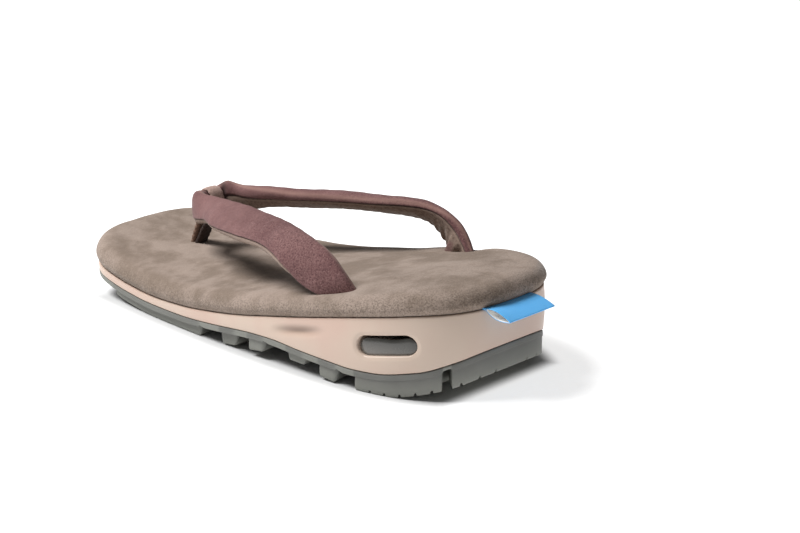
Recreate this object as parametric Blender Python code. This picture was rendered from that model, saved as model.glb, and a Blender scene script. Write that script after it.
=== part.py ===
"""A thonged sandal on a wedge sole, toe along +Y, standing on z = 0, in metres.

The sole's layers are closed solids through rings of points that follow one outline. Inside the last
ring each face is closed by straight rungs from side to side. The layers share their rings and rungs,
so that they lie a constant gap apart. The upper is one padded band, swept from one side of the footbed
over the toe post to the other side.
"""

import math

import bmesh
import bpy
import numpy as np
from mathutils import Matrix, Vector
from mathutils.geometry import convex_hull_2d

# Gap between pieces that touch
FIT = 0.0003

# Outline of the sole, seen from above
LENGTH = 0.276
BALL_WIDTH = 0.1125
HEEL_ROUND = 0.079
HEEL_SQUARENESS = 3.0
TOE_ROUND = 0.030
TOE_SQUARENESS = 2.6
OUTLINE_POINTS = 96

# Heights along the sole
HEEL_HEIGHT = 0.045
BALL_HEIGHT = 0.012
TOE_SPRING = 0.0096
FOAM_AT_HEEL = 0.028
FOAM_AT_BALL = 0.0042
HEEL_ROLL = 0.0115
ARCH_LIFT = 0.0045

# Footbed pad
PAD_THICKNESS = 0.0115
PAD_CROWN = 0.0015
PAD_BULGE = 0.0012
PAD_ROUND = 0.012

# Edges of the foam and of the rubber
EDGE_ROUND = 0.0012
WALL_BULGE = 0.0008
RIM_HEIGHT = 0.0030
RIM_AT_TOE = 0.0014
RIM_STEP = 0.0003
LUG_SETBACK = 0.0013
TREAD_ROUND = 0.0010

# Tread
LUG_PITCH = 0.0247
LUG_LENGTH = 0.0116
LUG_SHIFT = 0.0030
LUG_COUNT = 4
FIRST_LUG = 0.0655
TOE_LIP_LENGTH = 0.0340
GROOVE_ROOF = 0.0008
HEEL_BLOCK_LENGTH = 0.0545
HEEL_GROOVE_WIDTH = 0.0030
HEEL_GROOVE_FROM_BACK = 0.0092
HEEL_GROOVE_ROOF = -0.0012

# Slot through the heel and the cell that lies in it
SLOT_LENGTH = 0.0305
SLOT_HEIGHT = 0.0103
SLOT_FROM_BACK = 0.0371
SLOT_ABOVE_RUBBER = 0.0144
SLOT_TILT = math.radians(9.5)
CELL_HEADROOM = 0.0020
CELL_RECESS = 0.0010

# Upper: a padded band over the toe post
BAND_SPREAD = 0.0510
BAND_REACH = 0.1490
BAND_ANCHOR_FROM_BACK = 0.0670
BAND_RISE = 0.0340
BAND_THICKNESS = 0.0088
BAND_SECTIONS = 26
BAND_POINTS = 16
BAND_SQUARENESS = 0.80
POCKET_START = 0.66

# Toe post: a loop round the band that goes down into the footbed
POST_WIDTH = 0.0090
POST_WALL = 0.0018
POST_SLACK = 0.0008
POST_FOOT_FORWARD = 0.0120
POST_FOOT_LENGTH = 0.0075
POST_DEPTH = 0.0070

# Folded tag in the heel's seam
TAG_WIDTH = 0.0330
TAG_OUT = 0.0115
TAG_IN = 0.0040
TAG_LAYER = 0.0005
TAG_OPENING = 0.0014
TAG_DROOP = 0.0045

# The box round the whole sandal is centred on the origin
HEEL_Y = -(LENGTH + PAD_BULGE - TAG_OUT) / 2

# Each row: share of the length, then half the width as a share of half the ball's width
WIDTHS = np.array([
    (0.00, 0.860),
    (0.33, 1.005),
    (0.66, 0.985),
    (1.00, 0.800),
])

# Each row: share of the length, then shares of the heel's height, of the toe spring in the seam,
# of the foam's extra thickness at the heel, of the heel's roll, of the arch and of the toe spring
# in the tread
SIDES = np.array([
    (0.00, 1.00, 0.00, 0.68, 1.00, 0.00, 0.00),
    (0.03, 0.97, 0.00, 0.84, 0.60, 0.00, 0.00),
    (0.08, 0.92, 0.00, 1.00, 0.22, 0.00, 0.00),
    (0.13, 0.85, 0.00, 1.02, 0.00, 0.00, 0.00),
    (0.20, 0.74, 0.00, 0.92, 0.00, 0.00, 0.00),
    (0.25, 0.65, 0.00, 0.77, 0.00, 0.15, 0.00),
    (0.32, 0.52, 0.00, 0.55, 0.00, 0.85, 0.00),
    (0.40, 0.38, 0.00, 0.30, 0.00, 1.00, 0.00),
    (0.48, 0.24, 0.00, 0.15, 0.00, 0.50, 0.00),
    (0.56, 0.13, 0.00, 0.09, 0.00, 0.00, 0.00),
    (0.65, 0.04, 0.00, 0.04, 0.00, 0.00, 0.00),
    (0.75, 0.00, 0.00, 0.00, 0.00, 0.00, 0.00),
    (0.83, 0.00, 0.11, 0.00, 0.00, 0.00, 0.14),
    (0.91, 0.00, 0.40, 0.00, 0.00, 0.00, 0.52),
    (1.00, 0.00, 1.00, 0.00, 0.00, 0.00, 1.15),
])
HEEL, SEAM_TOE, FOAM, ROLL, ARCH, TREAD_TOE = range(1, 7)

# Edge of the footbed, from its underside up. Each row: inset as a share of the rounding, bulge as
# a share of the named one, height as a share of the pad's thickness
PAD_EDGE = np.array([
    (0.02, 0.00, 0.07),
    (0.00, 1.00, 0.30),
    (0.00, 0.60, 0.52),
    (0.08, 0.00, 0.75),
    (0.30, 0.00, 0.91),
    (0.60, 0.00, 0.98),
])

# Places of the points along each rung that closes a face, as shares of half the rung
RUNG = (0.5, 0.0, -0.5)

# One arm of the band, from the toe post back to the pocket. Each row: share along the arm, then
# the upper and the lower edge of the band as x, y and height, shares of spread, reach and rise,
# and the thickness as a share of the named one. Heights are above the middle of the footbed
BAND = np.array([
    (0.00, 0.000, 1.000, 0.955, 0.000, 1.000, 0.50, 0.90),
    (0.05, 0.142, 1.004, 0.96, 0.148, 1.004, 0.50, 0.92),
    (0.10, 0.228, 0.968, 1.00, 0.275, 0.961, 0.57, 0.95),
    (0.17, 0.245, 0.868, 1.01, 0.420, 0.868, 0.65, 1.00),
    (0.26, 0.302, 0.750, 1.00, 0.610, 0.776, 0.69, 1.03),
    (0.40, 0.423, 0.566, 0.95, 0.815, 0.588, 0.70, 1.05),
    (0.55, 0.588, 0.380, 0.86, 0.960, 0.390, 0.60, 1.05),
    (0.71, 0.788, 0.180, 0.69, 1.085, 0.220, 0.32, 1.00),
    (0.80, 0.842, 0.095, 0.51, 1.032, 0.146, 0.04, 0.92),
    (0.90, 0.856, 0.031, 0.26, 0.945, 0.070, -0.15, 0.82),
    (1.00, 0.825, -0.019, -0.05, 0.850, 0.020, -0.28, 0.72),
])


def gentle_slopes(shares, values):
    """Slopes that keep a curve between its rows: the harmonic mean of the slopes on both sides."""
    steps = np.diff(values) / np.diff(shares)
    product = steps[:-1] * steps[1:]
    same_way = product > 0
    total = np.where(same_way, steps[:-1] + steps[1:], 1)
    return np.concatenate([steps[:1], np.where(same_way, 2 * product / total, 0), steps[-1:]])


def smooth(shares, values, slopes, at):
    """Cubic through the rows, with a given slope at each."""
    row = np.clip(np.searchsorted(shares, at, side="right") - 1, 0, len(shares) - 2)
    span = shares[row + 1] - shares[row]
    u = (at - shares[row]) / span
    if np.ndim(values) > 1:
        u = u[:, None]
        span = span[:, None]
    start = (1 + 2 * u) * (1 - u) ** 2 * values[row] + u * (1 - u) ** 2 * span * slopes[row]
    end = u * u * (3 - 2 * u) * values[row + 1] - u * u * (1 - u) * span * slopes[row + 1]
    return start + end


def side_share(column, y):
    """One column of SIDES at the places y along the sole."""
    share = np.clip((np.asarray(y, float) - HEEL_Y) / LENGTH, 0, 1)
    rows, values = SIDES[:, 0], SIDES[:, column]
    return smooth(rows, values, gentle_slopes(rows, values), share)


def seam_z(y):
    """Top of the foam, where the footbed sits."""
    rise = (HEEL_HEIGHT - BALL_HEIGHT) * side_share(HEEL, y)
    return BALL_HEIGHT + rise + TOE_SPRING * side_share(SEAM_TOE, y)


def foam_bottom_z(y):
    """Underside of the foam, where the rubber begins."""
    return seam_z(y) - FOAM_AT_BALL - (FOAM_AT_HEEL - FOAM_AT_BALL) * side_share(FOAM, y)


def rim_z(y):
    """Lower edge of the rubber's rim, which gets thinner as the toe springs up."""
    return foam_bottom_z(y) - FIT - RIM_HEIGHT + (RIM_HEIGHT - RIM_AT_TOE) * side_share(SEAM_TOE, y)


def tread_z(y):
    """Lowest level of the rubber: flat at heel and ball, lifted at the arch and at both ends."""
    lift = HEEL_ROLL * side_share(ROLL, y) + ARCH_LIFT * side_share(ARCH, y)
    return lift + TOE_SPRING * side_share(TREAD_TOE, y)


def pad_top_z(y):
    """Middle of the footbed's upper face."""
    return seam_z(y) + FIT + PAD_THICKNESS + PAD_CROWN


def half_width(y):
    """Half the width of the outline: a cubic in the length, rounded off at heel and toe."""
    share = (y - HEEL_Y) / LENGTH
    cubic = np.polyfit(WIDTHS[:, 0], WIDTHS[:, 1], len(WIDTHS) - 1)
    width = BALL_WIDTH / 2 * np.polyval(cubic, share)
    into_heel = np.clip(1 - share * LENGTH / HEEL_ROUND, 0, 1)
    into_toe = np.clip(1 - (1 - share) * LENGTH / TOE_ROUND, 0, 1)
    heel = (1 - into_heel ** HEEL_SQUARENESS) ** (1 / HEEL_SQUARENESS)
    toe = (1 - into_toe ** TOE_SQUARENESS) ** (1 / TOE_SQUARENESS)
    return width * heel * toe


def outline():
    """Points evenly spaced round the outline, from the heel by the right side to the toe and back."""
    turn = np.linspace(0, math.pi, 4001)
    y = HEEL_Y + LENGTH * (1 - np.cos(turn)) / 2
    x = half_width(y)
    run = np.concatenate([[0], np.cumsum(np.hypot(np.diff(x), np.diff(y)))])
    even = np.linspace(0, run[-1], OUTLINE_POINTS // 2 + 1)
    right = np.stack([np.interp(even, run, x), np.interp(even, run, y)], -1)
    left = right[-2:0:-1] * (-1, 1)
    return np.concatenate([right, left])


ARM = np.linspace(0, 1, BAND_SECTIONS)
OUTLINE = outline()
TANGENT = np.roll(OUTLINE, -1, 0) - np.roll(OUTLINE, 1, 0)
OUTWARD = np.stack([TANGENT[:, 1], -TANGENT[:, 0]], -1) / np.linalg.norm(TANGENT, axis=1)[:, None]


def ring(inset, height):
    """The outline moved in by an inset, at the height that a function of y gives."""
    plan = OUTLINE - OUTWARD * np.reshape(inset, (-1, 1))
    return np.column_stack([plan, height(plan[:, 1])])


def rungs(edge, crown):
    """Points inside the last ring of a face, in rows from the heel to the toe. Each row is a rung
    between two points of the ring, and the crown fades out towards both ends.
    """
    half = OUTLINE_POINTS // 2
    right = edge[1:half]
    left = edge[:half:-1]
    along = 2 * (right[:, 1] - edge[0, 1]) / (edge[half, 1] - edge[0, 1]) - 1
    rise = crown * (1 - along ** 4)
    rows = []
    for share in RUNG:
        points = right * (1 + share) / 2 + left * (1 - share) / 2
        points[:, 2] += rise * (1 - share * share)
        rows.append(points)
    return np.stack(rows, 1).reshape(-1, 3)


def rung_faces(ring_start, inner_start):
    """Triangles between the rungs of one face, from the numbers of its first two kinds of point."""
    half = OUTLINE_POINTS // 2
    last = len(RUNG) + 1

    def corner(row, column):
        if row in (0, half) or column == 0:
            return ring_start + row
        if column == last:
            return ring_start + OUTLINE_POINTS - row
        return inner_start + (row - 1) * len(RUNG) + column - 1

    faces = []
    for row in range(half):
        for column in range(last):
            near, far = corner(row, column), corner(row + 1, column)
            far_next, near_next = corner(row + 1, column + 1), corner(row, column + 1)
            faces.append((near, far, far_next))
            faces.append((near, far_next, near_next))
    return [face for face in faces if len(set(face)) == 3]


def new_object(name, points, faces, material):
    """A mesh object whose faces point outwards, in the sandal's collection."""
    mesh = bpy.data.meshes.new(name)
    mesh.from_pydata([tuple(p) for p in points], [], faces)
    solid = bmesh.new()
    solid.from_mesh(mesh)
    bmesh.ops.recalc_face_normals(solid, faces=solid.faces)
    solid.to_mesh(mesh)
    solid.free()
    mesh.shade_smooth()
    mesh.set_sharp_from_angle(angle=math.radians(40))
    mesh.materials.append(material)
    piece = bpy.data.objects.new(name, mesh)
    PIECES.objects.link(piece)
    return piece


def layer(name, under, side, over, material, crown=0.0):
    """A solid of the sole. Under and over hold the rings of its two faces from the edge inwards, and
    side the rings between them, from the lowest up. Both faces split their quads along the same
    lines, so that two layers face each other exactly.
    """
    rings = under[::-1] + side + over
    count = OUTLINE_POINTS
    inner_start = count * len(rings)
    last = inner_start - count
    lower = rungs(rings[0], 0.0)
    upper = rungs(rings[-1], crown)
    points = np.concatenate(rings + [lower, upper])
    faces = rung_faces(0, inner_start) + rung_faces(last, inner_start + len(lower))
    for k in range(len(rings) - 1):
        a = k * count
        b = a + count
        for i in range(count):
            j = (i + 1) % count
            if k < len(under) + len(side) - 1:
                faces.append((a + i, a + j, b + j))
                faces.append((a + i, b + j, b + i))
            else:
                faces.append((a + i, a + j, b + i))
                faces.append((a + j, b + j, b + i))
    return new_object(name, points, faces, material)


def flat_solid(name, loops, half, material=None):
    """A flat outline in the YZ plane, with any inner loops as holes, thickened along X both ways."""
    drawing = bpy.data.curves.new(name, "CURVE")
    drawing.dimensions = "2D"
    drawing.fill_mode = "BOTH"
    drawing.extrude = half
    for loop in loops:
        spline = drawing.splines.new("POLY")
        spline.points.add(len(loop) - 1)
        for point, (y, z) in zip(spline.points, loop):
            point.co = (y, z, 0, 1)
        spline.use_cyclic_u = True
    sketch = bpy.data.objects.new(name + "_sketch", drawing)
    PIECES.objects.link(sketch)
    bpy.context.view_layer.update()
    mesh = bpy.data.meshes.new_from_object(sketch.evaluated_get(bpy.context.evaluated_depsgraph_get()))
    bpy.data.objects.remove(sketch)
    solid = bmesh.new()
    solid.from_mesh(mesh)
    bmesh.ops.remove_doubles(solid, verts=solid.verts, dist=0.00001)
    stand_up = Matrix(((0, 0, 1, 0), (1, 0, 0, 0), (0, 1, 0, 0), (0, 0, 0, 1)))
    bmesh.ops.transform(solid, matrix=stand_up, verts=solid.verts)
    bmesh.ops.recalc_face_normals(solid, faces=solid.faces)
    solid.to_mesh(mesh)
    solid.free()
    mesh.materials.clear()
    if material:
        mesh.materials.append(material)
    piece = bpy.data.objects.new(name, mesh)
    (PIECES if material else CUTTERS).objects.link(piece)
    return piece


def hide_cutter(cutter):
    """A cutter shows as wires and isn't part of the sandal."""
    cutter.hide_render = True
    cutter.display_type = "WIRE"


def cut(piece, cutter, operation="DIFFERENCE"):
    """Take one shape out of a piece, or keep only what lies inside it."""
    hide_cutter(cutter)
    step = piece.modifiers.new(cutter.name, "BOOLEAN")
    step.operation = operation
    step.object = cutter


def finish(name, colour, roughness):
    """A plain material with the colour and roughness of one piece."""
    material = bpy.data.materials.new(name)
    material.use_nodes = True
    shader = material.node_tree.nodes["Principled BSDF"]
    shader.inputs["Base Color"].default_value = (*colour, 1)
    shader.inputs["Roughness"].default_value = roughness
    shader.inputs["Metallic"].default_value = 0
    return material


def make_outsole():
    """Rubber: a thin rim all round, and under it, set back, a heel block, lugs and a toe block. Every
    second lug is shifted towards the heel, the toe block begins where the next lug would, and ahead
    of it the rim goes on alone as a lip.
    """
    share = (OUTLINE[:, 1] - HEEL_Y) / LENGTH
    block = HEEL_BLOCK_LENGTH / LENGTH
    ahead = np.clip((share - block) / (block / 4), 0, 1)
    setback = RIM_STEP + LUG_SETBACK * ahead * ahead * (3 - 2 * ahead)

    under = [ring(setback + TREAD_ROUND, tread_z), ring(PAD_ROUND, tread_z)]
    side = [
        ring(setback, lambda y: tread_z(y) + TREAD_ROUND),
        ring(setback, rim_z),
        ring(0.0, rim_z),
        ring(0.0, lambda y: foam_bottom_z(y) - FIT - EDGE_ROUND / 2),
    ]
    over = [ring(inset, lambda y: foam_bottom_z(y) - FIT) for inset in (EDGE_ROUND, PAD_ROUND)]
    outsole = layer("outsole", under, side, over, RUBBER)

    start = HEEL_Y + HEEL_BLOCK_LENGTH
    for number in range(LUG_COUNT + 1):
        lug = HEEL_Y + FIRST_LUG + LUG_PITCH * number - LUG_SHIFT * (number % 2)
        cut(outsole, groove("tread_groove_%d" % number, start, lug, GROOVE_ROOF))
        start = lug + LUG_LENGTH
    tip = HEEL_Y + LENGTH
    cut(outsole, groove("toe_lip_groove", tip - TOE_LIP_LENGTH, tip + LUG_LENGTH, GROOVE_ROOF))
    back = HEEL_Y + HEEL_GROOVE_FROM_BACK
    cut(outsole, groove("heel_groove", back, back + HEEL_GROOVE_WIDTH, HEEL_GROOVE_ROOF))
    return outsole


def groove(name, start, end, below_rim):
    """A slot across the whole tread between two places along it, up to a level below the rim."""
    below = -BALL_HEIGHT
    places = np.linspace(end, start, 5)
    roof = list(zip(places, rim_z(places) - below_rim))
    return flat_solid(name, [[(start, below), (end, below)] + roof], BALL_WIDTH)


def stadium(middle, length, height, tilt, steps=10):
    """A slot shape with round ends, turned by its tilt, as points in the YZ plane."""
    radius = height / 2
    run = length / 2 - radius
    loop = []
    for side in (1, -1):
        for angle in np.linspace(-math.pi / 2, math.pi / 2, steps):
            y = side * (run + radius * math.cos(angle))
            z = side * radius * math.sin(angle)
            turned = (y * math.cos(tilt) + z * math.sin(tilt), z * math.cos(tilt) - y * math.sin(tilt))
            loop.append((middle[0] + turned[0], middle[1] + turned[1]))
    return loop


def slot_middle():
    """Middle of the slot through the heel."""
    y = HEEL_Y + SLOT_FROM_BACK
    return y, float(foam_bottom_z(y)) + SLOT_ABOVE_RUBBER


def make_midsole():
    """Foam wedge with a slightly bulging wall and the slot right through its heel."""
    def between(share):
        return lambda y: foam_bottom_z(y) + share * (seam_z(y) - foam_bottom_z(y))

    under = [ring(inset, foam_bottom_z) for inset in (EDGE_ROUND, PAD_ROUND)]
    foam = float(np.max(seam_z(OUTLINE[:, 1]) - foam_bottom_z(OUTLINE[:, 1])))
    bulge = WALL_BULGE * (seam_z(OUTLINE[:, 1]) - foam_bottom_z(OUTLINE[:, 1])) / foam
    side = [
        ring(0.0, lambda y: foam_bottom_z(y) + EDGE_ROUND / 2),
        ring(-bulge, between(0.5)),
        ring(0.0, lambda y: seam_z(y) - EDGE_ROUND / 2),
    ]
    over = [ring(inset, seam_z) for inset in (EDGE_ROUND, PAD_ROUND)]
    midsole = layer("midsole", under, side, over, FOAM_FINISH)
    slot = stadium(slot_middle(), SLOT_LENGTH, SLOT_HEIGHT, SLOT_TILT)
    cut(midsole, flat_solid("heel_slot", [slot], BALL_WIDTH))
    return midsole


def make_air_cell():
    """Smoky bar that lies on the floor of the slot and stops short of the wall on both sides."""
    y, z = slot_middle()
    drop = CELL_HEADROOM / 2 - FIT / 2
    middle = (y - drop * math.sin(SLOT_TILT), z - drop * math.cos(SLOT_TILT))
    height = SLOT_HEIGHT - CELL_HEADROOM - FIT
    loop = stadium(middle, SLOT_LENGTH - CELL_HEADROOM - 2 * FIT, height, SLOT_TILT)
    cell = flat_solid("air_cell", [loop], BALL_WIDTH, SMOKE)
    cut(cell, cell_room(), "INTERSECT")
    return cell


def cell_room():
    """A block with the outline of the sole, moved in by the recess, that ends the cell."""
    base = ring(CELL_RECESS, lambda y: 0 * y)
    points = np.concatenate([base, base + (0, 0, HEEL_HEIGHT)])
    count = OUTLINE_POINTS
    faces = [tuple(range(count)), tuple(range(count, 2 * count))]
    for i in range(count):
        j = (i + 1) % count
        faces.append((i, j, count + j, count + i))
    room = new_object("cell_room", points, faces, SMOKE)
    PIECES.objects.unlink(room)
    CUTTERS.objects.link(room)
    return room


def make_footbed():
    """Padded board with a rounded edge and a crowned top, with pockets for band, post and tag."""
    def level(share):
        return lambda y: seam_z(y) + FIT + share * PAD_THICKNESS

    under = [ring(inset, level(0.0)) for inset in (EDGE_ROUND, PAD_ROUND)]
    side = []
    for inset, bulge, share in PAD_EDGE:
        side.append(ring(inset * PAD_ROUND - bulge * PAD_BULGE, level(share)))
    footbed = layer("footbed", under, side, [ring(PAD_ROUND, level(1.0))], SUEDE, PAD_CROWN)
    for right in (True, False):
        cut(footbed, band_pocket(right))
    cut(footbed, post_hole())
    cut(footbed, tag_pocket())
    return footbed


def arm_frames(at):
    """Middle, half the width across, way out, half the thickness and way along of the band at shares
    along its right arm, or along its left arm where they are negative. The table is mirrored at the
    toe post, so that the two arms run into each other smoothly.
    """
    mirror = np.array([1, -1, 1, 1, -1, 1, 1, 1])
    flipped = BAND[:0:-1] * mirror
    flipped[:, 0] *= -1
    rows = np.concatenate([flipped, BAND])
    table = smooth(rows[:, 0], rows[:, 1:], np.gradient(rows[:, 1:], rows[:, 0], axis=0), at)
    anchor = HEEL_Y + BAND_ANCHOR_FROM_BACK
    edges = []
    for first in (0, 3):
        x = table[:, first] * BAND_SPREAD
        y = anchor + table[:, first + 1] * BAND_REACH
        z = pad_top_z(y) + table[:, first + 2] * BAND_RISE
        edges.append(np.stack([x, y, z], -1))
    upper, lower = edges
    middle = (upper + lower) / 2
    along = np.gradient(middle, at, axis=0)
    out = np.cross(upper - lower, along)
    out /= np.linalg.norm(out, axis=1)[:, None]
    return middle, (upper - lower) / 2, out, table[:, 6] * BAND_THICKNESS / 2, along


def band_solid(name, at, grow, overrun, material):
    """Sweep of the band's padded section along it, grown all round and at its open ends."""
    middle, across, out, half, along = arm_frames(at)
    ahead = along / np.linalg.norm(along, axis=1)[:, None]
    middle[0] -= ahead[0] * overrun[0]
    middle[-1] += ahead[-1] * overrun[1]
    wide = np.linalg.norm(across, axis=1)[:, None]
    across = across / wide
    turn = np.arange(BAND_POINTS) * 2 * math.pi / BAND_POINTS
    flat = np.sign(np.cos(turn)) * np.abs(np.cos(turn)) ** BAND_SQUARENESS
    high = np.sign(np.sin(turn)) * np.abs(np.sin(turn)) ** BAND_SQUARENESS
    points = middle[:, None] + (wide + grow)[:, None] * across[:, None] * flat[None, :, None]
    points = points + (half + grow)[:, None, None] * out[:, None] * high[None, :, None]
    count = len(at)
    faces = [tuple(range(BAND_POINTS)), tuple(range((count - 1) * BAND_POINTS, count * BAND_POINTS))]
    for k in range(count - 1):
        for i in range(BAND_POINTS):
            j = (i + 1) % BAND_POINTS
            a = k * BAND_POINTS
            b = a + BAND_POINTS
            faces.append((a + i, a + j, b + j))
            faces.append((a + i, b + j, b + i))
    return new_object(name, points.reshape(-1, 3), faces, material)


def make_straps():
    """The upper: one padded band from the left pocket over the toe post to the right pocket."""
    at = np.concatenate([-ARM[:0:-1], ARM])
    return band_solid("straps", at, 0.0, (0.0, 0.0), BAND_SUEDE)


def band_pocket(right):
    """Room for one end of the band in the footbed, larger than it by the fit."""
    at = ARM[ARM >= POCKET_START]
    overrun = (0.0, FIT)
    if not right:
        at = -at[::-1]
        overrun = (FIT, 0.0)
    name = "band_pocket_" + ("right" if right else "left")
    pocket = band_solid(name, at, FIT, overrun, BAND_SUEDE)
    PIECES.objects.unlink(pocket)
    CUTTERS.objects.link(pocket)
    return pocket


def band_front():
    """Middle and half sizes of the band's section over the toe post, in the YZ plane."""
    middle, across, out, half, along = arm_frames(np.linspace(-0.01, 0.01, 3))
    return middle[1, 1], middle[1, 2], half[1], float(np.linalg.norm(across[1]))


def post_foot():
    """Middle of the post's foot along the sole, and the level of the footbed there."""
    y = band_front()[0] + POST_FOOT_FORWARD
    return y, float(pad_top_z(y))


def hull_loop(points):
    """Outline round a set of points."""
    return [points[i] for i in convex_hull_2d([Vector(p) for p in points])]


def make_toe_post():
    """Loop round the band whose two strands meet in the footbed: a ring shaped like a drop."""
    y, z, deep, tall = band_front()
    foot_y, foot_z = post_foot()

    def oval(grow):
        turn = np.linspace(0, 2 * math.pi, 28, endpoint=False)
        wide = np.sign(np.cos(turn)) * np.abs(np.cos(turn)) ** BAND_SQUARENESS
        high = np.sign(np.sin(turn)) * np.abs(np.sin(turn)) ** BAND_SQUARENESS
        return [(y + (deep + grow) * a, z + (tall + grow) * b) for a, b in zip(wide, high)]

    reach = POST_FOOT_LENGTH / 2
    outer = oval(POST_SLACK + POST_WALL)
    outer += [(foot_y - reach, foot_z), (foot_y + reach, foot_z)]
    inner = oval(POST_SLACK) + [(foot_y, foot_z + POST_WALL)]
    loop = hull_loop(outer)
    stem = [(foot_y - reach, foot_z - POST_DEPTH), (foot_y + reach, foot_z - POST_DEPTH)]
    loop = stem_below(loop, stem, foot_y, foot_z)
    return flat_solid("toe_post", [loop, hull_loop(inner)], POST_WIDTH / 2, CORD)


def stem_below(loop, stem, foot_y, foot_z):
    """Put the stem's two lower corners between the foot's two corners in a closed loop."""
    corner = [i for i, p in enumerate(loop) if abs(p[1] - foot_z) < 1e-7]
    first, second = corner
    if second - first > 1:
        first, second = second, first
    lower = stem if loop[first][0] < foot_y else stem[::-1]
    at = first + 1
    return loop[:at] + [Vector(p) for p in lower] + loop[at:]


def post_hole():
    """Hole in the footbed for the post's stem, larger than it by the fit."""
    y, z = post_foot()
    reach = POST_FOOT_LENGTH / 2 + FIT
    low = z - POST_DEPTH - FIT
    high = z + POST_DEPTH
    loop = [(y - reach, low), (y + reach, low), (y + reach, high), (y - reach, high)]
    return flat_solid("post_hole", [loop], POST_WIDTH / 2 + FIT)


def tag_line(u):
    """Middle of the tag's fold at shares from its inner end, which is sewn in, to its outer fold."""
    y = HEEL_Y + TAG_IN - u * (TAG_IN + TAG_OUT)
    out = np.clip((u * (TAG_IN + TAG_OUT) - TAG_IN) / TAG_OUT, 0, 1)
    seam = float(seam_z(HEEL_Y + TAG_IN)) + FIT
    return y, seam + FIT + TAG_LAYER - TAG_DROOP * out ** 1.6


def make_heel_tag():
    """Folded label: two layers that part a little between the seam and the fold."""
    u = np.linspace(0, 1, 12)
    y, z = tag_line(u)
    out = np.clip((u - TAG_IN / (TAG_IN + TAG_OUT)) / (1 - TAG_IN / (TAG_IN + TAG_OUT)), 0, 1)
    part = TAG_OPENING / 2 * np.sin(math.pi * out) ** 0.8
    outer = list(zip(y, z + TAG_LAYER + part)) + list(zip(y, z - TAG_LAYER - part))[::-1]
    inside = part > TAG_OPENING / 8
    inner = list(zip(y[inside], (z + part)[inside])) + list(zip(y[inside], (z - part)[inside]))[::-1]
    return flat_solid("heel_tag", [outer, inner], TAG_WIDTH / 2, TAG_BLUE)


def tag_pocket():
    """Room for the tag's sewn end, cut into the underside of the footbed's back edge."""
    low = float(seam_z(HEEL_Y)) - PAD_THICKNESS / 4
    high = float(seam_z(HEEL_Y + TAG_IN)) + 3 * FIT + 2 * TAG_LAYER
    back = HEEL_Y - TAG_OUT
    front = HEEL_Y + TAG_IN + FIT
    loop = [(back, low), (front, low), (front, high), (back, high)]
    return flat_solid("tag_pocket", [loop], TAG_WIDTH / 2 + FIT)


for old in list(bpy.data.objects):
    bpy.data.objects.remove(old, do_unlink=True)

PIECES = bpy.data.collections.new("sandal")
CUTTERS = bpy.data.collections.new("cutters")
bpy.context.scene.collection.children.link(PIECES)
bpy.context.scene.collection.children.link(CUTTERS)

RUBBER = finish("grey_rubber", (0.19, 0.20, 0.18), 0.6)
FOAM_FINISH = finish("pale_foam", (0.67, 0.50, 0.39), 0.5)
SMOKE = finish("smoke_plastic", (0.14, 0.15, 0.13), 0.25)
SUEDE = finish("taupe_suede", (0.33, 0.26, 0.21), 0.95)
BAND_SUEDE = finish("dusty_pink_suede", (0.31, 0.17, 0.16), 0.95)
CORD = finish("brown_cord", (0.09, 0.06, 0.05), 0.9)
TAG_BLUE = finish("blue_label", (0.06, 0.35, 0.90), 0.7)

make_outsole()
make_midsole()
make_air_cell()
make_footbed()
make_straps()
make_toe_post()
make_heel_tag()
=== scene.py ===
# %% [markdown]
# # A thong sandal on a wedge sole
# The sandal is built twice. The CAD model holds plain solids of the right size, and this lesson lays
# the visible surfaces over them: suede, foam, rubber, a smoky cell and a woven tag. Every surface is
# a grid of points that numpy works out from the same few sizes as the solids, so nothing has to be
# fitted by eye.

import math

import bmesh
import bpy
import numpy as np
from mathutils import Matrix, Vector


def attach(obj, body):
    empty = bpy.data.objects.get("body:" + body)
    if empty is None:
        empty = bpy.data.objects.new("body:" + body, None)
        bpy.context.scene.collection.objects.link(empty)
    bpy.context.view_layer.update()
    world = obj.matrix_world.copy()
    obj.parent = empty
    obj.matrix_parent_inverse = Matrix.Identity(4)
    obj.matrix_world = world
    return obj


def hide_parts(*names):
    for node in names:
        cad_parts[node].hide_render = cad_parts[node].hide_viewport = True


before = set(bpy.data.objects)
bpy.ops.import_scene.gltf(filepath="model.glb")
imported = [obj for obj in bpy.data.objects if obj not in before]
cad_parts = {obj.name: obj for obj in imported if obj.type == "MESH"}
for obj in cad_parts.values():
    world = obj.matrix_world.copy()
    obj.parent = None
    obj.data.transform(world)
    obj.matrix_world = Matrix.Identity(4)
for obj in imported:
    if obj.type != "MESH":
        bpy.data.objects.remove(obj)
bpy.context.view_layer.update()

# %% [markdown]
# ## Camera and light
# The photo shows the sandal from behind its left side, a little from above, with a long lens. The
# camera's three directions come from two angles, and its place from the distance to a target that lies
# a little left of the picture's middle and below it.

# %% Camera at the photo's angle
LENS = 89.54
AZIMUTH = math.radians(-46.557)
ELEVATION = math.radians(18.016)
DISTANCE = 1.0439
TARGET = Vector((0, 0.00515, 0.020))
TARGET_LEFT_OF_MIDDLE = 0.0460
TARGET_BELOW_MIDDLE = 0.0106

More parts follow.
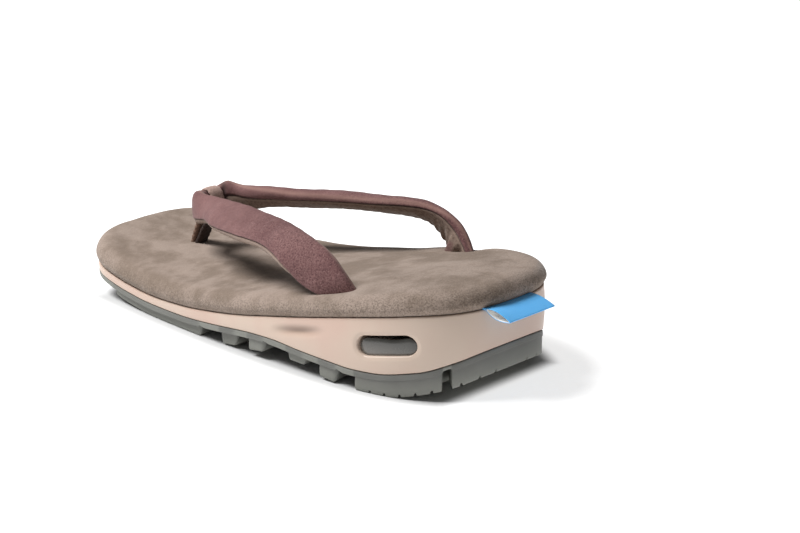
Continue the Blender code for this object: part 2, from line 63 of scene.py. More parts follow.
across = Vector((math.cos(AZIMUTH), math.sin(AZIMUTH), 0))
back = Vector((math.sin(AZIMUTH) * math.cos(ELEVATION), -math.cos(AZIMUTH) * math.cos(ELEVATION),
               math.sin(ELEVATION)))
upward = back.cross(across)
camera = bpy.data.objects.new("camera", bpy.data.cameras.new("camera"))
camera.data.lens = LENS
place = TARGET + across * TARGET_LEFT_OF_MIDDLE + upward * TARGET_BELOW_MIDDLE + back * DISTANCE
camera.matrix_world = Matrix.Translation(place) @ Matrix((across, upward, back)).transposed().to_4x4()
bpy.context.collection.objects.link(camera)
bpy.context.scene.camera = camera
print("camera at", [round(c, 3) for c in place])

# %% [markdown]
# A product photo is lit by one large softbox, here high up on the left, on the side of the toes. It
# leaves a deep soft shadow under the straps, and the near side and the heel in half shade. A weak world
# keeps the shadows on the sandal from turning black. The Standard view keeps white things white.

# %% World and softbox
WORLD_STRENGTH = 0.16
SOFTBOX_SPOT = Vector((-0.52, 0.54, 1.25))
SOFTBOX_SIZE = 0.62
SOFTBOX_POWER = 30.0

world = bpy.data.worlds.new("studio")
world.use_nodes = True
background = world.node_tree.nodes["Background"]
background.inputs["Color"].default_value = (1, 1, 1, 1)
background.inputs["Strength"].default_value = WORLD_STRENGTH
bpy.context.scene.world = world
bpy.context.scene.view_settings.view_transform = "Standard"
lamp = bpy.data.lights.new("softbox", "AREA")
lamp.size = SOFTBOX_SIZE
lamp.energy = SOFTBOX_POWER
softbox = bpy.data.objects.new("softbox", lamp)
softbox.location = SOFTBOX_SPOT
softbox.rotation_euler = (TARGET - SOFTBOX_SPOT).to_track_quat("-Z", "Y").to_euler()
bpy.context.collection.objects.link(softbox)
print("softbox", round((TARGET - SOFTBOX_SPOT).length, 2), "m away")

# %% [markdown]
# ## From numbers to a mesh
# A grid of points becomes a surface when each point is joined to its neighbours. The corner numbers of
# all the quads are one numpy array, without a loop. Where a grid closes on itself its points are merged
# afterwards, and the faces are turned to point outwards.

# %% Grid helpers
WELD = 0.000004
CREASE_ANGLE = math.radians(50)


def step(value, width):
    """0 below and 1 above a soft step that is as wide as given and has its middle at zero."""
    u = np.clip(value / width + 0.5, 0, 1)
    return u * u * (3 - 2 * u)


def bell(value, width):
    """Bell curve, 1 at zero."""
    return np.exp(-(value / width) ** 2)


def squared(wave, power):
    """A sine or cosine that keeps its sign while its size is raised to a power: a circle drawn with
    powers below 1 swells towards a rectangle.
    """
    return np.sign(wave) * np.abs(wave) ** power


def quads(rows, columns, start=0, wrap=False):
    """Corner numbers of the quads of a grid: each point, the next in its row, and the two above."""
    number = start + np.arange(rows * columns).reshape(rows, columns)
    if wrap:
        number = np.concatenate([number, number[:, :1]], 1)
    corners = [number[:-1, :-1], number[:-1, 1:], number[1:, 1:], number[1:, :-1]]
    return np.stack(corners, -1).reshape(-1, 4)


def close_ends(points, middle):
    """Tube with one more ring at each end, drawn together to the tube's middle."""
    return np.concatenate([0 * points[:1] + middle[0], points, 0 * points[-1:] + middle[-1]])


def make_mesh(name, points, faces, masks):
    """Mesh of points and faces, where each mask gives a number for every point."""
    mesh = bpy.data.meshes.new(name)
    mesh.from_pydata(np.reshape(points, (-1, 3)), [], faces)
    for mask, values in masks.items():
        layer = mesh.attributes.new(mask, "FLOAT", "POINT")
        layer.data.foreach_set("value", np.ravel(values).astype(np.float32))
    return mesh


def show(mesh, *finishes):
    """Object of a mesh with its materials, under the mesh's name."""
    for finish in finishes:
        mesh.materials.append(finish.material)
    piece = bpy.data.objects.new(mesh.name, mesh)
    bpy.context.collection.objects.link(piece)
    return piece


def dress(name, points, finish, node, masks, faces=None):
    """Make a closed piece, let it ride on the sandal and stand for its solid. Where no faces are given,
    its points are a stack of closed rings.
    """
    if faces is None:
        faces = quads(*points.shape[:2], wrap=True)
    mesh = make_mesh(name, points, faces, masks)
    solid = bmesh.new()
    solid.from_mesh(mesh)
    bmesh.ops.remove_doubles(solid, verts=solid.verts, dist=WELD)
    bmesh.ops.recalc_face_normals(solid, faces=solid.faces)
    open_edges = sum(1 for edge in solid.edges if len(edge.link_faces) != 2)
    solid.to_mesh(mesh)
    solid.free()
    mesh.shade_smooth()
    mesh.set_sharp_from_angle(angle=CREASE_ANGLE)
    piece = show(mesh, finish)
    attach(piece, "root")
    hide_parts(node)
    print(name, len(mesh.polygons), "faces,", open_edges, "open edges")
    return piece


# %% [markdown]
# ## Shader maths
# A material is a small formula that is worked out at every point of a surface. Writing it with nodes by
# hand is slow, so a socket is wrapped in a class whose operators add the Math nodes. One method makes
# every other node from its type, its settings and its inputs.

# %% Shader classes


def colour(code):
    """Linear colour from the six hex digits that a paint program shows."""
    share = np.array([int(code[i:i + 2], 16) for i in (0, 2, 4)]) / 255
    linear = np.where(share < 0.04045, share / 12.92, ((share + 0.055) / 1.055) ** 2.4)
    return (*[float(c) for c in linear], 1.0)


class Value:
    """A number, colour or vector that varies over the surface. Operators on it add Math nodes."""

    def __init__(self, finish, socket):
        self.finish = finish
        self.socket = socket

    def math(self, operation, *values):
        return self.finish.node("ShaderNodeMath", {"operation": operation}, dict(enumerate(values)))

    def __add__(self, other):
        return self.math("ADD", self, other)

    def __sub__(self, other):
        return self.math("SUBTRACT", self, other)

    def __rsub__(self, other):
        return self.math("SUBTRACT", other, self)

    def __mul__(self, other):
        return self.math("MULTIPLY", self, other)

    def between(self, low, high):
        """0 up to the low value, 1 from the high value on, and a smooth step between them."""
        values = {"Value": self, "From Min": low, "From Max": high}
        return self.finish.node("ShaderNodeMapRange", {"interpolation_type": "SMOOTHSTEP"}, values)


class Finish:
    """A material that is being put together."""

    def __init__(self, name, **constants):
        self.material = bpy.data.materials.new(name)
        self.material.use_nodes = True
        self.tree = self.material.node_tree
        self.shader = self.tree.nodes["Principled BSDF"]
        for socket, value in constants.items():
            self.shader.inputs[socket.replace("_", " ")].default_value = value

    def put(self, socket, value):
        """Give an input a link, the colour of a code, or a plain number or vector."""
        if isinstance(value, Value):
            self.tree.links.new(value.socket, socket)
        else:
            socket.default_value = colour(value) if isinstance(value, str) else value

    def node(self, kind, settings, values, output=0):
        """Any node, from its type, its settings and the values or links of its inputs."""
        made = self.tree.nodes.new(kind)
        for name, setting in settings.items():
            setattr(made, name, setting)
        for name, value in values.items():
            self.put(made.inputs[name], value)
        return Value(self, made.outputs[output])

    def position(self, stretch=(1, 1, 1)):
        """Object coordinates in metres, stretched along each axis."""
        here = self.node("ShaderNodeTexCoord", {}, {}, "Object")
        return self.node("ShaderNodeMapping", {}, {"Vector": here, "Scale": stretch})

    def noise(self, size, detail=2.0, rough=0.5, stretch=(1, 1, 1)):
        """Cloudy noise from 0 to 1, with clouds of about the given size in metres."""
        values = {"Vector": self.position(stretch), "Scale": 1 / size, "Detail": detail, "Roughness": rough}
        return self.node("ShaderNodeTexNoise", {}, values)

    def mask(self, name):
        """A mask that was worked out for each point of the mesh."""
        return self.node("ShaderNodeAttribute", {"attribute_name": name}, {}, "Fac")

    def mix(self, share, first, second):
        """Blend of two colours."""
        values = {"Factor": share, 6: first, 7: second}
        return self.node("ShaderNodeMix", {"data_type": "RGBA"}, values, 2)

    def bump(self, height, depth, below=None):
        """Tilt of the surface from a height of 0 to 1 that stands for a depth in metres."""
        values = {"Height": height, "Distance": depth}
        if below:
            values["Normal"] = below
        return self.node("ShaderNodeBump", {}, values)

    def stripes(self, axis, scale):
        """Soft stripes across an axis, slightly wavy."""
        values = {"Vector": self.position(), "Scale": scale, "Distortion": 0.3}
        return self.node("ShaderNodeTexWave", {"bands_direction": axis}, values)

    def finish(self, **varying):
        for socket, value in varying.items():
            self.put(self.shader.inputs[socket.replace("_", " ")], value)
        print("finish:", self.material.name)


# %% [markdown]
# ## The shape of the sole
# A last maker draws a sole from above and from the side. The view from above is an outline that is
# widest at the ball. The view from the side is a set of lines: the seam under the footbed, the joint
# between foam and rubber, and the tread. Each is a smooth curve through a few stations, and every layer
# of the sole is worked out from them. The sizes are those of the solids.

# %% Sizes of the sole
FIT = 0.0003
LENGTH = 0.276
BALL_WIDTH = 0.1125
HEEL_ROUND = 0.079
HEEL_SQUARENESS = 3.0
TOE_ROUND = 0.030
TOE_SQUARENESS = 2.6
HEEL_HEIGHT = 0.045
BALL_HEIGHT = 0.012
TOE_SPRING = 0.0096
FOAM_AT_HEEL = 0.028
FOAM_AT_BALL = 0.0042
HEEL_ROLL = 0.0115
ARCH_LIFT = 0.0045
PAD_THICKNESS = 0.0115
PAD_CROWN = 0.0015
PAD_BULGE = 0.0012
PAD_ROUND = 0.012
EDGE_ROUND = 0.0012
WALL_BULGE = 0.0008
RIM_HEIGHT = 0.0030
RIM_AT_TOE = 0.0014
TAG_OUT = 0.0115
HEEL_Y = -(LENGTH + PAD_BULGE - TAG_OUT) / 2

# Each row: share of the length, then half the width as a share of half the ball's width
WIDTHS = np.array([
    (0.00, 0.860),
    (0.33, 1.005),
    (0.66, 0.985),
    (1.00, 0.800),
])

# Each row: share of the length, then shares of the heel's height, of the toe spring in the seam,
# of the foam's extra thickness at the heel, of the heel's roll, of the arch and of the toe spring
# in the tread
SIDES = np.array([
    (0.00, 1.00, 0.00, 0.68, 1.00, 0.00, 0.00),
    (0.03, 0.97, 0.00, 0.84, 0.60, 0.00, 0.00),
    (0.08, 0.92, 0.00, 1.00, 0.22, 0.00, 0.00),
    (0.13, 0.85, 0.00, 1.02, 0.00, 0.00, 0.00),
    (0.20, 0.74, 0.00, 0.92, 0.00, 0.00, 0.00),
    (0.25, 0.65, 0.00, 0.77, 0.00, 0.15, 0.00),
    (0.32, 0.52, 0.00, 0.55, 0.00, 0.85, 0.00),
    (0.40, 0.38, 0.00, 0.30, 0.00, 1.00, 0.00),
    (0.48, 0.24, 0.00, 0.15, 0.00, 0.50, 0.00),
    (0.56, 0.13, 0.00, 0.09, 0.00, 0.00, 0.00),
    (0.65, 0.04, 0.00, 0.04, 0.00, 0.00, 0.00),
    (0.75, 0.00, 0.00, 0.00, 0.00, 0.00, 0.00),
    (0.83, 0.00, 0.11, 0.00, 0.00, 0.00, 0.14),
    (0.91, 0.00, 0.40, 0.00, 0.00, 0.00, 0.52),
    (1.00, 0.00, 1.00, 0.00, 0.00, 0.00, 1.15),
])
HEEL, SEAM_TOE, FOAM, ROLL, ARCH, TREAD_TOE = range(1, 7)


def smooth(shares, values, slopes, at):
    """Cubic through the rows, with a given slope at each."""
    row = np.clip(np.searchsorted(shares, at, side="right") - 1, 0, len(shares) - 2)
    span = shares[row + 1] - shares[row]
    u = (at - shares[row]) / span
    if np.ndim(values) > 1:
        u = u[:, None]
        span = span[:, None]
    start = (1 + 2 * u) * (1 - u) ** 2 * values[row] + u * (1 - u) ** 2 * span * slopes[row]
    end = u * u * (3 - 2 * u) * values[row + 1] - u * u * (1 - u) * span * slopes[row + 1]
    return start + end


def through(rows, at):
    """Smooth curves through the rows of a table whose first column is the share along them."""
    return smooth(rows[:, 0], rows[:, 1:], np.gradient(rows[:, 1:], rows[:, 0], axis=0), at)


def gentle_slopes(shares, values):
    """Slopes that keep a curve between its rows: the harmonic mean of the slopes on both sides."""
    steps = np.diff(values) / np.diff(shares)
    product = steps[:-1] * steps[1:]
    same_way = product > 0
    total = np.where(same_way, steps[:-1] + steps[1:], 1)
    return np.concatenate([steps[:1], np.where(same_way, 2 * product / total, 0), steps[-1:]])


def side_share(column, y):
    """One column of SIDES at the places y along the sole."""
    share = np.clip((np.asarray(y, float) - HEEL_Y) / LENGTH, 0, 1)
    rows, values = SIDES[:, 0], SIDES[:, column]
    return smooth(rows, values, gentle_slopes(rows, values), share)


def seam_z(y):
    """Top of the foam: ball height, plus the heel's rise, plus the toe spring."""
    rise = (HEEL_HEIGHT - BALL_HEIGHT) * side_share(HEEL, y)
    return BALL_HEIGHT + rise + TOE_SPRING * side_share(SEAM_TOE, y)


def foam_bottom_z(y):
    """Underside of the foam: the seam less the foam's thickness."""
    return seam_z(y) - FOAM_AT_BALL - (FOAM_AT_HEEL - FOAM_AT_BALL) * side_share(FOAM, y)


def rim_z(y):
    """Lower edge of the rubber's rim, which gets thinner as the toe springs up."""
    return foam_bottom_z(y) - FIT - RIM_HEIGHT + (RIM_HEIGHT - RIM_AT_TOE) * side_share(SEAM_TOE, y)


def tread_z(y):
    """Lowest level of the rubber: roll at the back, arch, and spring at the toe."""
    lift = HEEL_ROLL * side_share(ROLL, y) + ARCH_LIFT * side_share(ARCH, y)
    return lift + TOE_SPRING * side_share(TREAD_TOE, y)


def pad_top_z(y):
    """Middle of the footbed's upper face: the seam plus the pad and its crown."""
    return seam_z(y) + FIT + PAD_THICKNESS + PAD_CROWN


def half_width(y):
    """Half the width: a cubic in the length, times a superellipse's end at heel and toe."""
    share = (y - HEEL_Y) / LENGTH
    cubic = np.polyfit(WIDTHS[:, 0], WIDTHS[:, 1], len(WIDTHS) - 1)
    width = BALL_WIDTH / 2 * np.polyval(cubic, share)
    into_heel = np.clip(1 - share * LENGTH / HEEL_ROUND, 0, 1)
    into_toe = np.clip(1 - (1 - share) * LENGTH / TOE_ROUND, 0, 1)
    heel = (1 - into_heel ** HEEL_SQUARENESS) ** (1 / HEEL_SQUARENESS)
    toe = (1 - into_toe ** TOE_SQUARENESS) ** (1 / TOE_SQUARENESS)
    return width * heel * toe


print("seam at heel, ball, toe:", np.round(seam_z(HEEL_Y + LENGTH * np.array([0, 0.75, 1])), 4))

# %% [markdown]
# To walk round the outline at an even pace, its length is added up in small steps, and places are then
# looked up by distance. The direction straight outwards is the walking direction turned by 90 degrees.

# %% The outline by distance
FINE = 4001
turn = np.linspace(0, math.pi, FINE)
fine_y = HEEL_Y + LENGTH * (1 - np.cos(turn)) / 2
fine_x = half_width(fine_y)
fine_run = np.concatenate([[0], np.cumsum(np.hypot(np.diff(fine_x), np.diff(fine_y)))])
HALF_ROUND = fine_run[-1]
RUN = np.linspace(0, HALF_ROUND, FINE // 2)
OUTLINE_X = np.interp(RUN, fine_run, fine_x)
OUTLINE_Y = np.interp(RUN, fine_run, fine_y)
walk = np.stack([np.gradient(OUTLINE_X), np.gradient(OUTLINE_Y)])
OUTWARD_Y, OUTWARD_X = walk / np.hypot(*walk) * [[-1], [1]]


def plan(run, inset):
    """Outline at distances from the heel's back, moved in. Past the toe it comes back on the left."""
    left = run > HALF_ROUND
    place = np.where(left, 2 * HALF_ROUND - run, run)
    x = np.interp(place, RUN, OUTLINE_X) - inset * np.interp(place, RUN, OUTWARD_X)
    y = np.interp(place, RUN, OUTLINE_Y) - inset * np.interp(place, RUN, OUTWARD_Y)
    return np.where(left, -x, x), y


def both_sides(right_runs):
    """Distances all the way round from those on the right side, heel and toe among them."""
    return np.concatenate([right_runs, 2 * HALF_ROUND - right_runs[-2:0:-1]])


def run_at(y):
    """Distance from the heel's back at which the right side passes y."""
    return np.interp(y, OUTLINE_Y, RUN)


print("half the way round:", round(HALF_ROUND, 4), "m")

# %% [markdown]
# ## The floor
# The table is pale milky acrylic, lit from below so that the ground stays white and the shadows on it
# faint. Its glow is masked off where the sole stands close above it: a painted contact shadow, which
# leaves the tread dark, with a soft dark line where the sandal stands. The table's grid walks round the
# sole's outline as well, in ever wider rings, so the mask is a number for each of its points. It is
# stage, not sandal.

# %% Floor
FLOOR_REACH = 6.0
FLOOR_FINE = 0.020
FLOOR_GLOW = 0.72
GLOW_EDGE = 0.011
GLOW_CLEARANCE = 0.0045

acrylic = Finish("milky_acrylic", Roughness=0.9, Emission_Strength=FLOOR_GLOW)
# Painted contact shadow: the glow is masked off under the sole and close round it.
acrylic.finish(Base_Color=acrylic.mix(acrylic.noise(0.4, 2.0), "c6c6c6", "cacaca"),
               Emission_Color=acrylic.mix(acrylic.mask("glow_outside_painted_shadow"), "000000", "ffffff"))


def make_floor():
    """Rings round the sole's outline, from its middle line out to a width that fills every view."""
    run = np.linspace(0, 2 * HALF_ROUND, 240, endpoint=False)[None, :]
    wide = FLOOR_FINE + (FLOOR_REACH - FLOOR_FINE) * np.linspace(0, 1, 9)[1:] ** 4
    far = np.concatenate([np.linspace(-PAD_ROUND, FLOOR_FINE, 33), wide])[:, None]
    x, y = plan(run, -far)
    rings = np.stack([x, y, 0 * x], -1)
    points = np.concatenate([rings[:1] * (0, 1, 1), rings])
    # Painted contact shadow: no glow where the tread is close above the floor, rising to full glow outside
    # the outline.
    clearance = tread_z(points[..., 1]) / GLOW_CLEARANCE - 1
    outside = np.concatenate([far[:1], far]) / GLOW_EDGE
    share = np.clip(np.maximum(clearance, outside), 0, 1)
    faces = quads(*points.shape[:2], wrap=True)[:, ::-1]
    mesh = make_mesh("floor", points, faces, {"glow_outside_painted_shadow": step(share - 0.5, 1)})
    floor = show(mesh, acrylic)
    print("floor", len(mesh.polygons), "faces")


make_floor()

# %% [markdown]
# ## The footbed
# The footbed is a thin board under foam, wrapped in one piece of suede. Its edge is a soft roll that
# hangs a little over the foam, and its top is slightly crowned and never quite even. One grid makes the
# whole pad: columns walk round the outline, and rows climb from the middle of the underside over the
# edge to the middle of the top. A cloth simulation would hardly change so firm a pad, so its
# unevenness comes from a few long waves.

# %% Suede
SUEDE_LIGHT = "9b8b80"
SUEDE_MIDDLE = "7f7064"
SUEDE_DARK = "5f5349"
SUEDE_GLINT = "a89a8f"


def suede(name, light, middle, dark, glint, fuzz):
    """Brushed suede: large patches where the nap lies one way or the other, dark specks and glints."""
    made = Finish(name, Roughness=0.95, Specular_IOR_Level=0.15, Sheen_Weight=fuzz, Sheen_Roughness=0.45)
    patch = made.noise(0.030, 3.0, 0.55, (1, 0.6, 1))
    cloud = made.noise(0.011, 3.0, 0.6)
    speckle = made.noise(0.0008, 3.0, 0.65)
    sparkle = made.noise(0.0010, 2.0, 0.6, (1, 1.4, 1))
    nap = made.noise(0.00042, 1.0)
    grainy = made.mask("grainy")
    lie = (patch * 0.6 + cloud * 0.4).between(0.40, 0.60)
    body = made.mix(lie, middle, light)
    flecks = 1 - speckle.between(0.32, 0.62)
    flecked = made.mix(flecks * (grainy * 0.70 + 0.12), body, dark)
    glints = sparkle.between(0.54, 0.70)
    flecked = made.mix(glints * (grainy * 0.40 + 0.06), flecked, glint)
    relief = made.bump(speckle * 0.7 + nap * 0.3, 0.00022)
    relief = made.bump(cloud, 0.0009, relief)
    return made, flecked, relief


taupe, taupe_colour, taupe_relief = suede("taupe_suede", SUEDE_LIGHT, SUEDE_MIDDLE, SUEDE_DARK,
                                          SUEDE_GLINT, 0.15)
taupe.finish(Base_Color=taupe_colour, Normal=taupe_relief)

# %% Footbed
FOOTBED_COLUMNS = 440
EDGE_ROWS = 22
TOP_ROWS = 26
UNDER_ROWS = 5

# Edge of the footbed from its underside up. Each row: inset as a share of the rounding, bulge as a
# share of the named one, height as a share of the pad's thickness
PAD_EDGE = np.array([
    (0.10, 0.00, 0.00),
    (0.02, 0.00, 0.07),
    (0.00, 1.00, 0.30),
    (0.00, 0.60, 0.52),
    (0.08, 0.00, 0.75),
    (0.30, 0.00, 0.91),
    (0.60, 0.00, 0.98),
    (1.00, 0.00, 1.00),
])

# Long waves of the suede's top. Each row: wave length, direction in degrees, height
PAD_WAVES = np.array([
    (0.071, 24, 0.00022),
    (0.046, 101, 0.00018),
    (0.031, 63, 0.00012),
    (0.023, 148, 0.00009),
    (0.016, 12, 0.00006),
])
STRAP_ENTRY = (0.0455, HEEL_Y + 0.0690)
ENTRY_DIMPLE = 0.0012
ENTRY_REACH = 0.0085
EDGE_GRAIN = 1.6
HEEL_GRAIN = 0.5
HEEL_GRAIN_SPOT = (0.030, HEEL_Y + 0.020)
HEEL_GRAIN_REACH = 0.050


def waves(x, y, table):
    """Sum of sine waves, each with its own length, direction and height."""
    total = np.zeros(np.broadcast(x, y).shape)
    for number, (length, degrees, height) in enumerate(table):
        along = x * math.cos(math.radians(degrees)) + y * math.sin(math.radians(degrees))
        total += height * np.sin(2 * math.pi * along / length + number * 2.4)
    return total


def hills(x, y, spot, reach):
    """Round hill, 1 at a spot on each side of the sandal, fading with the square of the distance."""
    return np.exp(-((np.abs(x) - spot[0]) ** 2 + (y - spot[1]) ** 2) / reach ** 2)


def make_footbed():
    stations = np.linspace(0, 1, EDGE_ROWS)
    marks = np.linspace(0, 1, len(PAD_EDGE))
    edge = smooth(marks, PAD_EDGE, np.gradient(PAD_EDGE, marks, axis=0), stations)
    under = np.linspace(0, 1, UNDER_ROWS)
    over = np.linspace(1, 0, TOP_ROWS)[1:]
    inset = np.concatenate([0 * under + PAD_ROUND, edge[:, 0] * PAD_ROUND - edge[:, 1] * PAD_BULGE,
                            0 * over + PAD_ROUND])[:, None]
    draw = np.concatenate([under, 0 * stations + 1, over])[:, None]
    level = np.concatenate([0 * under, edge[:, 2], 0 * over + 1])[:, None]
    run = np.linspace(0, 2 * HALF_ROUND, FOOTBED_COLUMNS, endpoint=False)[None, :]
    x, y = plan(run, inset)
    x = x * draw
    along = 2 * (y - y.min(1, keepdims=True)) / np.ptp(y, axis=1)[:, None] - 1
    crown = PAD_CROWN * (1 - draw ** 2) * (1 - along ** 4) * (level == 1)
    z = seam_z(y) + FIT + level * PAD_THICKNESS + crown
    z = z + waves(x, y, PAD_WAVES) * level
    z = z - ENTRY_DIMPLE * hills(x, y, STRAP_ENTRY, ENTRY_REACH) * (level > 0.7)
    grainy = (1 - level) * EDGE_GRAIN + hills(x, y, HEEL_GRAIN_SPOT, HEEL_GRAIN_REACH) * HEEL_GRAIN
    piece = dress("footbed_pad", np.stack([x, y, z], -1), taupe, "footbed",
                  {"grainy": np.clip(grainy, 0, 1)})


make_footbed()

# %% [markdown]
# ## The foam wedge
# The wedge is moulded from pale foam with a satin skin. Its wall bulges a little, has a soft dent above
# the arch, and a slot right through the heel with a moulded lip. Cutting it with a Boolean would leave a
# lip to bevel across a curved wall. Instead the wall's grid leaves a window open, and a second grid
# fills it: rings that change from the window's rectangle into the slot's shape, roll over the lip and
# run through the heel to the same rings on the other side.

# %% Foam finish
FOAM_LIGHT = "c6b2a2"
FOAM_PINK = "c3a899"
# Colour of the painted shade in the dent
FOAM_DENT_SHADE = "7d6759"

foam = Finish("pale_foam", Roughness=0.42, Coat_Weight=0.15, Coat_Roughness=0.35)
flush = foam.noise(0.035, 2.0).between(0.35, 0.7)
skin = foam.noise(0.0007, 2.0)
orange_peel = foam.bump(skin, 0.00004)
foam_colour = foam.mix(flush, FOAM_LIGHT, FOAM_PINK)
# Painted shade darkens the dent above the arch.
foam_colour = foam.mix(foam.mask("painted_dent_shade") * 0.75, foam_colour, FOAM_DENT_SHADE)
foam.finish(Base_Color=foam_colour,
            Roughness=skin * 0.12 + 0.38, Normal=orange_peel)

# %% Foam wall and its lip
WALL_COLUMNS = 460
FOAM_ROUND = EDGE_ROUND / 2
SLOT_LENGTH = 0.0305
SLOT_HEIGHT = 0.0103
SLOT_FROM_BACK = 0.0371
SLOT_ABOVE_RUBBER = 0.0144
SLOT_TILT = math.radians(9.5)
SLOT_Y = HEEL_Y + SLOT_FROM_BACK
SLOT_Z = float(foam_bottom_z(SLOT_Y)) + SLOT_ABOVE_RUBBER
WINDOW_MARGIN = 0.0065
WINDOW_SHARES = (0.11, 0.91)
DENT_FROM_BACK = (0.070, 0.110)
DENT_HEIGHTS = (0.0262, 0.0180)
DENT_DEPTH = 0.0016
DENT_WIDTH = 0.0021

# The slot's lip, from the wall inwards. Each row: distance outside the slot, depth below the wall
LIP = np.array([
    (0.0022, 0.00000),
    (0.0017, 0.00008),
    (0.0013, 0.00022),
    (0.0010, 0.00032),
    (0.0007, 0.00038),
    (0.0005, 0.00046),
    (0.0003, 0.00062),
    (0.0001, 0.00090),
    (0.0000, 0.00140),
    (0.0000, 0.00300),
])


def dent(y, z):
    """Spindle-shaped dent: a line along the wall, a bell curve across it, fading to both ends."""
    along = np.clip((y - HEEL_Y - DENT_FROM_BACK[0]) / (DENT_FROM_BACK[1] - DENT_FROM_BACK[0]), 0, 1)
    line = DENT_HEIGHTS[0] + (DENT_HEIGHTS[1] - DENT_HEIGHTS[0]) * along
    return DENT_DEPTH * np.sin(math.pi * along) ** 1.5 * np.exp(-((z - line) / DENT_WIDTH) ** 2)


def wall(run, share, depth=0.0):
    """Foam wall at a distance round and a share of its height: outline, less a rounded edge, plus a
    bulge that is a parabola in the height, less the dent and an extra depth.
    """
    y = plan(run, 0.0)[1]
    low = foam_bottom_z(y)
    tall = seam_z(y) - low
    z = low + share * tall
    edge = np.clip(1 - np.minimum(share, 1 - share) * tall / FOAM_ROUND, 0, 1)
    rounding = FOAM_ROUND * (1 - np.sqrt(1 - edge ** 2))
    bulge = WALL_BULGE * tall / FOAM_AT_HEEL * 4 * share * (1 - share)
    x, y = plan(run, depth + rounding - bulge + dent(y, z))
    return np.stack([x, y, z], -1)


def slot_ring(y, z, grow):
    """Nearest point to (y, z) on the slot's outline, grown all round: the slot is a line with a radius."""
    cos, sin = math.cos(SLOT_TILT), math.sin(SLOT_TILT)
    along = (y - SLOT_Y) * cos - (z - SLOT_Z) * sin
    above = (y - SLOT_Y) * sin + (z - SLOT_Z) * cos
    radius = SLOT_HEIGHT / 2
    nearest = np.clip(along, radius - SLOT_LENGTH / 2, SLOT_LENGTH / 2 - radius)
    away = np.hypot(along - nearest, above)
    along = nearest + (radius + grow) * (along - nearest) / away
    above = (radius + grow) * above / away
    return SLOT_Y + along * cos + above * sin, SLOT_Z - along * sin + above * cos


def border(grid):
    """Values along the border of a grid, once round."""
    return np.concatenate([grid[0, :-1], grid[:-1, -1], grid[-1, :0:-1], grid[:0:-1, 0]])


def make_wedge():
    right = np.linspace(0, HALF_ROUND, WALL_COLUMNS // 2)
    run = both_sides(right)
    rows = np.unique(np.concatenate([[0, 0.008, 0.02, 0.04, 0.07], np.linspace(*WINDOW_SHARES, 26),
                                     [0.94, 0.965, 0.985, 0.995, 1]]))
    skin_points = wall(run[None, :], rows[:, None])
    cap = np.array([0, 0.5, 1])[:, None]
    x, y = plan(run[None, :], PAD_ROUND)
    caps = []
    for level in (foam_bottom_z, seam_z):
        caps.append(np.stack([x * cap, y + 0 * cap, level(y) + 0 * cap], -1))
    points = np.concatenate([caps[0], skin_points, caps[1][::-1]])
    faces = quads(*points.shape[:2], wrap=True)

    reach = SLOT_LENGTH / 2 + WINDOW_MARGIN
    first, last = np.searchsorted(right, run_at(np.array([SLOT_Y - reach, SLOT_Y + reach])))
    low, high = np.searchsorted(rows, WINDOW_SHARES)
    row, column = np.divmod(np.arange(len(faces)), len(run))
    mirrored = len(run) - 1 - column
    in_rows = (row >= low + len(cap)) & (row < high + len(cap))
    in_columns = ((column >= first) & (column < last)) | ((mirrored >= first) & (mirrored < last))
    faces = faces[~(in_rows & in_columns)]

    window_run, window_share = np.meshgrid(right[first:last + 1], rows[low:high + 1])
    edge_run, edge_share = border(window_run), border(window_share)
    edge_y = plan(edge_run, 0.0)[1]
    edge_low = foam_bottom_z(edge_y)
    edge_z = edge_low + edge_share * (seam_z(edge_y) - edge_low)
    lip_y, lip_z = slot_ring(edge_y, edge_z, LIP[:, :1])
    blend = np.linspace(0, 1, 7)[:-1, None]
    ring_y = np.concatenate([edge_y + (lip_y[:1] - edge_y) * blend, lip_y])
    ring_z = np.concatenate([edge_z + (lip_z[:1] - edge_z) * blend, lip_z])
    depth = np.concatenate([0 * blend, LIP[:, 1:]])
    ring_run = run_at(ring_y)
    ring_low = foam_bottom_z(ring_y)
    share = (ring_z - ring_low) / (seam_z(ring_y) - ring_low)
    tube_right = wall(ring_run, share, depth)
    tube_right[0] = wall(edge_run, edge_share)
    tube_left = tube_right[::-1] * (-1, 1, 1)
    tube = np.concatenate([tube_right, tube_left])
    tube_faces = quads(*tube.shape[:2], start=points.shape[0] * points.shape[1], wrap=True)
    all_points = np.concatenate([points.reshape(-1, 3), tube.reshape(-1, 3)])
    # Painted shade for the dent, its middle a little below the dent's line.
    painted_dent_shade = dent(all_points[:, 1], all_points[:, 2] - 0.0006) / DENT_DEPTH
    dress("foam_wedge", all_points, foam, "midsole", {"painted_dent_shade": painted_dent_shade},
          np.concatenate([faces, tube_faces]))


make_wedge()

# %% [markdown]
# ## The smoky cell
# Behind the lip lies a bar of smoke-grey plastic. It is the slot's own shape, smaller, with its ends set
# back from the wall and swollen, and its top sags in the middle, which leaves a dark gap above it. Its
# colour darkens towards the top: painted shade under the lip.

# %% Cell
CELL_HEADROOM = 0.0016
CELL_RECESS = 0.0010
CELL_SWELL = 0.0007
CELL_SAG = 0.0011
CELL_COLUMNS = 160

smoke = Finish("smoke_plastic", Roughness=0.22, Coat_Weight=0.3)
# Painted shade: the cell darkens towards its top, under the lip.
painted_shade_to_top = smoke.mask("height")
cloudy = smoke.noise(0.006, 2.0)
tint = (painted_shade_to_top + (cloudy - 0.5) * 0.1).between(0.0, 1.0)
smoke.finish(Base_Color=smoke.mix(tint, "6f6b66", "454440"),
             Roughness=cloudy * 0.15 + 0.2)


